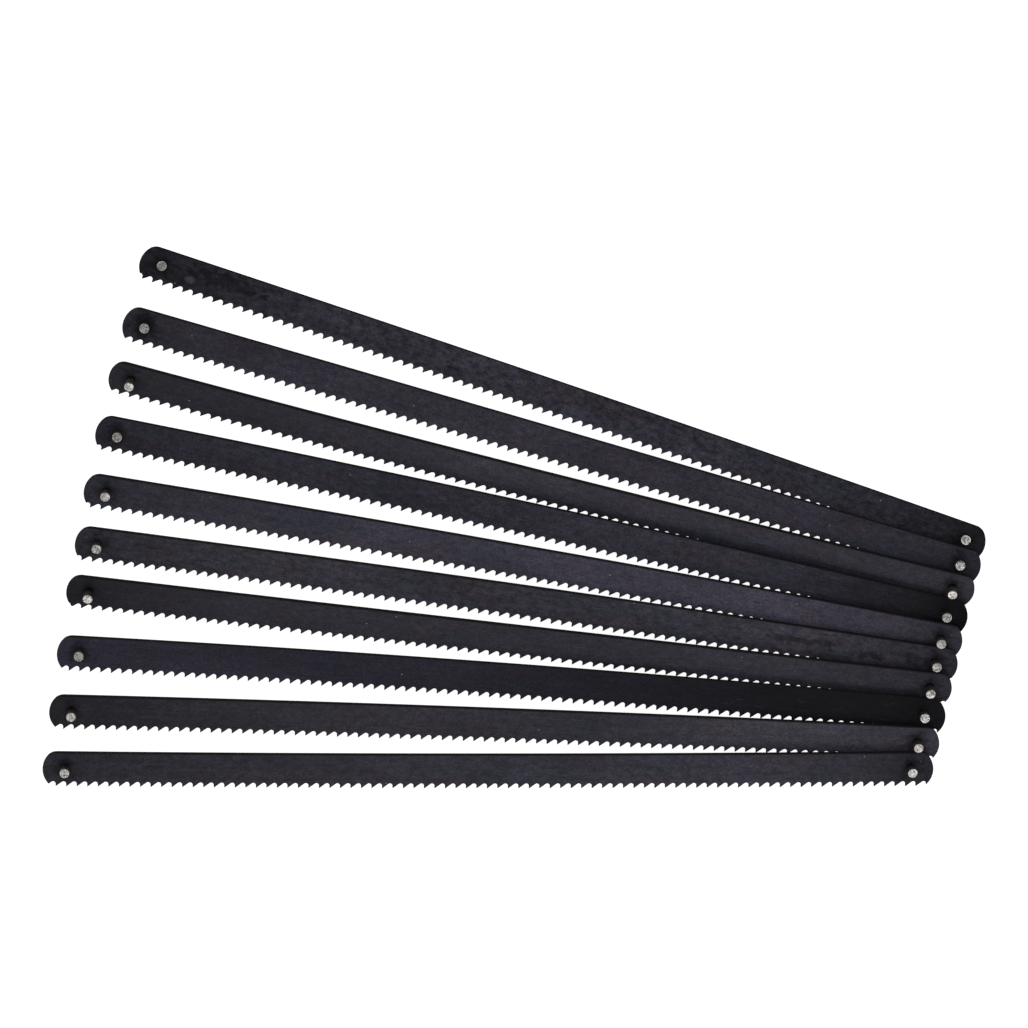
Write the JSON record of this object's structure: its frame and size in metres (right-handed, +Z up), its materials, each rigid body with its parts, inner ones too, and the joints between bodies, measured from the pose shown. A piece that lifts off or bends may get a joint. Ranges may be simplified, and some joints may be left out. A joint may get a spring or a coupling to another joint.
{
  "type": "pin-end saw blade set",
  "caption": "Fanned set of loose pin-end saw blades: flat dark toothed steel strips with rounded ends and a short steel cross pin near each end.",
  "frame": {"origin": "on the table under the middle of the set", "axes": "+X along the blades towards the ends where the fan closes, +Y across the fan towards the lowest blade, +Z up"},
  "size_m": [0.1629, 0.0938, 0.0068],
  "materials": {
    "black_oxide_steel": "satin black oxide",
    "bright_pin_steel": "sheared bare steel"
  },
  "bodies": {
    "blade_01": {"blade_01": "black_oxide_steel", "pin_01_left": "bright_pin_steel", "pin_01_right": "bright_pin_steel"},
    "blade_02": {"blade_02": "black_oxide_steel", "pin_02_left": "bright_pin_steel", "pin_02_right": "bright_pin_steel"},
    "blade_03": {"blade_03": "black_oxide_steel", "pin_03_left": "bright_pin_steel", "pin_03_right": "bright_pin_steel"},
    "blade_04": {"blade_04": "black_oxide_steel", "pin_04_left": "bright_pin_steel", "pin_04_right": "bright_pin_steel"},
    "blade_05": {"blade_05": "black_oxide_steel", "pin_05_left": "bright_pin_steel", "pin_05_right": "bright_pin_steel"},
    "blade_06": {"blade_06": "black_oxide_steel", "pin_06_left": "bright_pin_steel", "pin_06_right": "bright_pin_steel"},
    "blade_07": {"blade_07": "black_oxide_steel", "pin_07_left": "bright_pin_steel", "pin_07_right": "bright_pin_steel"},
    "blade_08": {"blade_08": "black_oxide_steel", "pin_08_left": "bright_pin_steel", "pin_08_right": "bright_pin_steel"},
    "blade_09": {"blade_09": "black_oxide_steel", "pin_09_left": "bright_pin_steel", "pin_09_right": "bright_pin_steel"},
    "blade_10": {"blade_10": "black_oxide_steel", "pin_10_left": "bright_pin_steel", "pin_10_right": "bright_pin_steel"}
  },
  "joints": [
    {"name": "lift_02", "type": "slide", "parent": "blade_01", "child": "blade_02", "axis": [-0.0311, -0.0926, 0.9952], "range_m": [0, 0.012]},
    {"name": "lift_03", "type": "slide", "parent": "blade_02", "child": "blade_03", "axis": [-0.1047, -0.4013, 0.91], "range_m": [0, 0.012]},
    {"name": "lift_04", "type": "slide", "parent": "blade_03", "child": "blade_04", "axis": [-0.034, -0.1421, 0.9893], "range_m": [0, 0.012]},
    {"name": "lift_05", "type": "slide", "parent": "blade_04", "child": "blade_05", "axis": [-0.049, -0.2627, 0.9636], "range_m": [0, 0.012]},
    {"name": "lift_06", "type": "slide", "parent": "blade_05", "child": "blade_06", "axis": [-0.0356, -0.2495, 0.9677], "range_m": [0, 0.012]},
    {"name": "lift_07", "type": "slide", "parent": "blade_06", "child": "blade_07", "axis": [-0.0433, -0.3802, 0.9239], "range_m": [0, 0.012]},
    {"name": "lift_08", "type": "slide", "parent": "blade_07", "child": "blade_08", "axis": [-0.0118, -0.1543, 0.988], "range_m": [0, 0.012]},
    {"name": "lift_09", "type": "slide", "parent": "blade_08", "child": "blade_09", "axis": [-0.0108, -0.2821, 0.9593], "range_m": [0, 0.012]},
    {"name": "lift_10", "type": "slide", "parent": "blade_09", "child": "blade_10", "axis": [-0.0017, -0.2266, 0.974], "range_m": [0, 0.012]}
  ]
}
